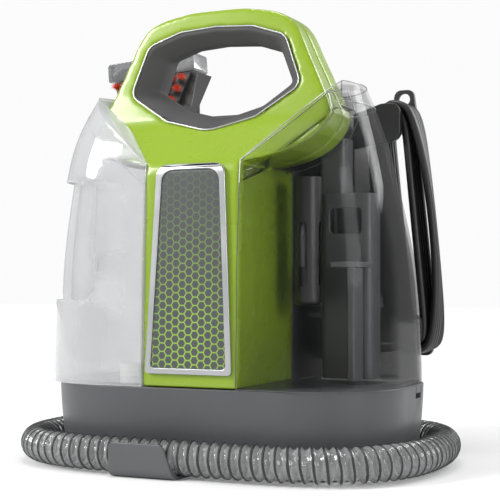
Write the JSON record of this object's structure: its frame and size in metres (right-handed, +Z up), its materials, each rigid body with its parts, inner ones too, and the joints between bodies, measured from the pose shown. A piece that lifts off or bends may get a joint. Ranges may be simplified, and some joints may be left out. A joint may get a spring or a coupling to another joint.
{
  "type": "carpet cleaner machine",
  "caption": "Portable spot carpet cleaner with a carrying handle, side tanks, a spray tool, a suction hose round the base and a wound mains lead.",
  "frame": {"origin": "on the floor, at the middle of the machine's footprint with its hose wound round the base", "axes": "+Z up, -Y out of the front with the badge, +X to the right seen from the front, towards the dirty water tank"},
  "size_m": [0.3406, 0.244, 0.345],
  "materials": {
    "green_plastic": "glossy lime green moulding",
    "dark_plastic": "fine satin moulding texture",
    "clip_plastic": "satin",
    "grip_rubber": "soft matt overmould",
    "silver_trim": "silver painted",
    "badge_plastic": "printed hexagon net",
    "clear_tank_plastic": "clear, smooth outside, faintly frosted",
    "smoked_tank_plastic": "smoke tinted, clear",
    "inner_grey_plastic": "satin",
    "float_plastic": "satin",
    "white_plastic": "natural acetal",
    "switch_plastic": "glossy",
    "pilot_plastic": "translucent amber",
    "screw_steel": "zinc plated",
    "foot_rubber": "matt",
    "hose_plastic": "clear corrugated with a black spiral",
    "cuff_plastic": "satin",
    "tool_clear_plastic": "clear",
    "bristle_nylon": "nylon filament",
    "lead_rubber": "smooth",
    "pin_brass": "nickel plated",
    "motor_steel": "bare",
    "heater_metal": "cast",
    "pipe_silicone": "silicone"
  },
  "bodies": {
    "machine": {"badge_frame": "silver_trim", "badge_panel": "badge_plastic", "base_housing": "dark_plastic", "base_tray": "dark_plastic", "brush_plate": "cuff_plastic", "brush_tufts": "bristle_nylon", "cord_gland": "lead_rubber", "cover_screws": "screw_steel", "fan_housing": "inner_grey_plastic", "feet": "foot_rubber", "front_hose_clip": "clip_plastic", "front_shell": "green_plastic", "handle_grip": "grip_rubber", "handle_rear": "green_plastic", "heater_block": "heater_metal", "hose": "hose_plastic", "hose_collar": "cuff_plastic", "hose_port": "cuff_plastic", "lower_cord_hook": "cuff_plastic", "mains_lead_end": "lead_rubber", "mains_lead_hank": "lead_rubber", "mains_lead_tail": "lead_rubber", "mains_plug": "lead_rubber", "motor_can": "motor_steel", "motor_plate": "screw_steel", "pilot_lens": "pilot_plastic", "plug_pins": "pin_brass", "pump_body": "white_plastic", "rear_cover": "dark_plastic", "rear_tower": "dark_plastic", "solution_pipe": "pipe_silicone", "tool_grip": "cuff_plastic", "tool_head": "cuff_plastic", "tool_holder": "cuff_plastic", "tool_mouth": "tool_clear_plastic", "tool_neck": "cuff_plastic", "tool_window": "tool_clear_plastic", "tower_cap": "dark_plastic", "upper_cord_hook": "cuff_plastic"},
    "dirty_tank": {"dirty_tank": "smoked_tank_plastic", "dirty_tank_top": "smoked_tank_plastic", "separator_stack": "inner_grey_plastic", "inlet_duct": "inner_grey_plastic", "baffle": "inner_grey_plastic", "float_cage": "float_plastic"},
    "float": {"float": "float_plastic"},
    "clean_tank": {"clean_tank": "clear_tank_plastic", "clean_tank_top": "clear_tank_plastic"},
    "filler_cap": {"filler_cap": "white_plastic"},
    "filler_valve": {"filler_valve": "white_plastic"},
    "tank_catch": {"tank_catch": "dark_plastic"},
    "power_switch": {"power_switch": "switch_plastic"},
    "heat_switch": {"heat_switch": "switch_plastic"},
    "tool_trigger": {"tool_trigger": "green_plastic"},
    "tool_lock_button": {"tool_lock_button": "cuff_plastic"},
    "rotor": {"rotor": "motor_steel", "impeller": "inner_grey_plastic"},
    "pump_piston": {"pump_piston": "white_plastic"}
  },
  "joints": [
    {"name": "dirty_tank_slide", "type": "slide", "parent": "machine", "child": "dirty_tank", "axis": [1, 0, 0], "range_m": [0, 0.12]},
    {"name": "clean_tank_slide", "type": "slide", "parent": "machine", "child": "clean_tank", "axis": [-1, 0, 0], "range_m": [0, 0.12]},
    {"name": "float_rise", "type": "slide", "parent": "dirty_tank", "child": "float", "axis": [0, 0, 1], "range_m": [0, 0.06]},
    {"name": "filler_cap_turn", "type": "hinge", "parent": "clean_tank", "child": "filler_cap", "pos_m": [-0.084, -0.012, 0.068], "axis": [0, 0, 1], "range_deg": [0, 90]},
    {"name": "filler_valve_lift", "type": "slide", "parent": "filler_cap", "child": "filler_valve", "axis": [0, 0, 1], "range_m": [0, 0.003], "stiffness_N_per_m": 100},
    {"name": "tank_catch_press", "type": "slide", "parent": "machine", "child": "tank_catch", "axis": [0, 0, -1], "range_m": [0, 0.004], "stiffness_N_per_m": 300, "springref_m": -0.001},
    {"name": "power_switch_rock", "type": "hinge", "parent": "machine", "child": "power_switch", "pos_m": [0.015, 0.027, 0.27], "axis": [-1, 0, 0], "range_deg": [0, 8]},
    {"name": "heat_switch_rock", "type": "hinge", "parent": "machine", "child": "heat_switch", "pos_m": [-0.015, 0.027, 0.27], "axis": [-1, 0, 0], "range_deg": [0, 8]},
    {"name": "tool_trigger_pull", "type": "hinge", "parent": "machine", "child": "tool_trigger", "pos_m": [-0.1024, 0.0922, 0.2337], "axis": [0.9976, 0, 0.0698], "range_deg": [0, 8], "stiffness_Nm_per_rad": 0.5, "springref_deg": -2.86},
    {"name": "tool_lock_press", "type": "slide", "parent": "machine", "child": "tool_lock_button", "axis": [0, -1, 0], "range_m": [0, 0.003], "stiffness_N_per_m": 200},
    {"name": "rotor_spin", "type": "hinge", "parent": "machine", "child": "rotor", "pos_m": [0, 0.028, 0.18], "axis": [0, 0, 1], "continuous": true},
    {"name": "pump_piston_stroke", "type": "slide", "parent": "machine", "child": "pump_piston", "axis": [0, 0, -1], "range_m": [0, 0.004], "stiffness_N_per_m": 500, "springref_m": -0.001}
  ]
}
